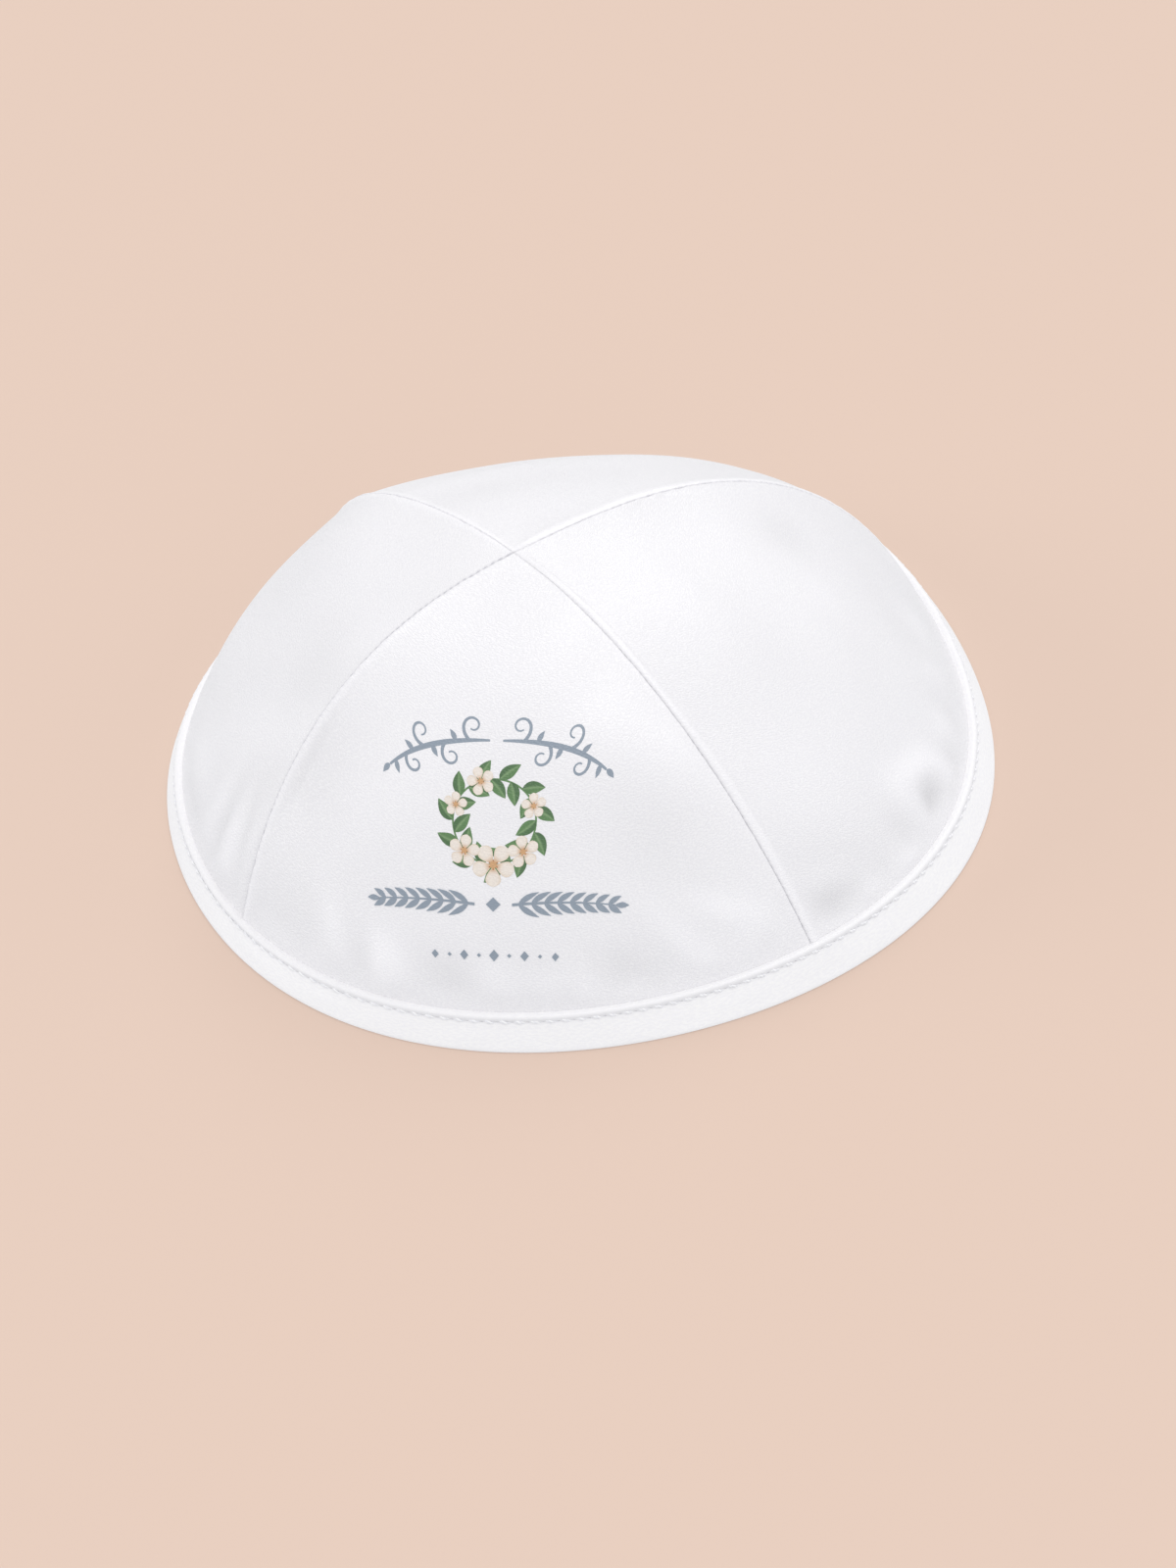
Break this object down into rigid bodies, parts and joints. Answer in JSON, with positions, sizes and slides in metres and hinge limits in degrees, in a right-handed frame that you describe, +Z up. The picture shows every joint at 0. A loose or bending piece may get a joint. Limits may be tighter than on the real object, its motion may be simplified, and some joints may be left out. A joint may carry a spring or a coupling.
{
  "type": "kippah skullcap",
  "caption": "Shallow domed satin skullcap of sewn gores meeting at the crown, with a folded stitched binding round the open rim.",
  "frame": {"origin": "on the surface that the rim rests on, at the centre of the bounding box", "axes": "+Z up through the crown, -Y out through the front gore, +X to the wearer's left when the front gore is worn in front"},
  "size_m": [0.1624, 0.1696, 0.0556],
  "materials": {
    "crown_satin": "soft sheen white satin",
    "binding_satin": "white satin bias strip, a little duller"
  },
  "bodies": {
    "root": {"panel_front": "crown_satin", "panel_right": "crown_satin", "panel_back": "crown_satin", "panel_left": "crown_satin", "rim_binding": "binding_satin"}
  },
  "joints": []
}
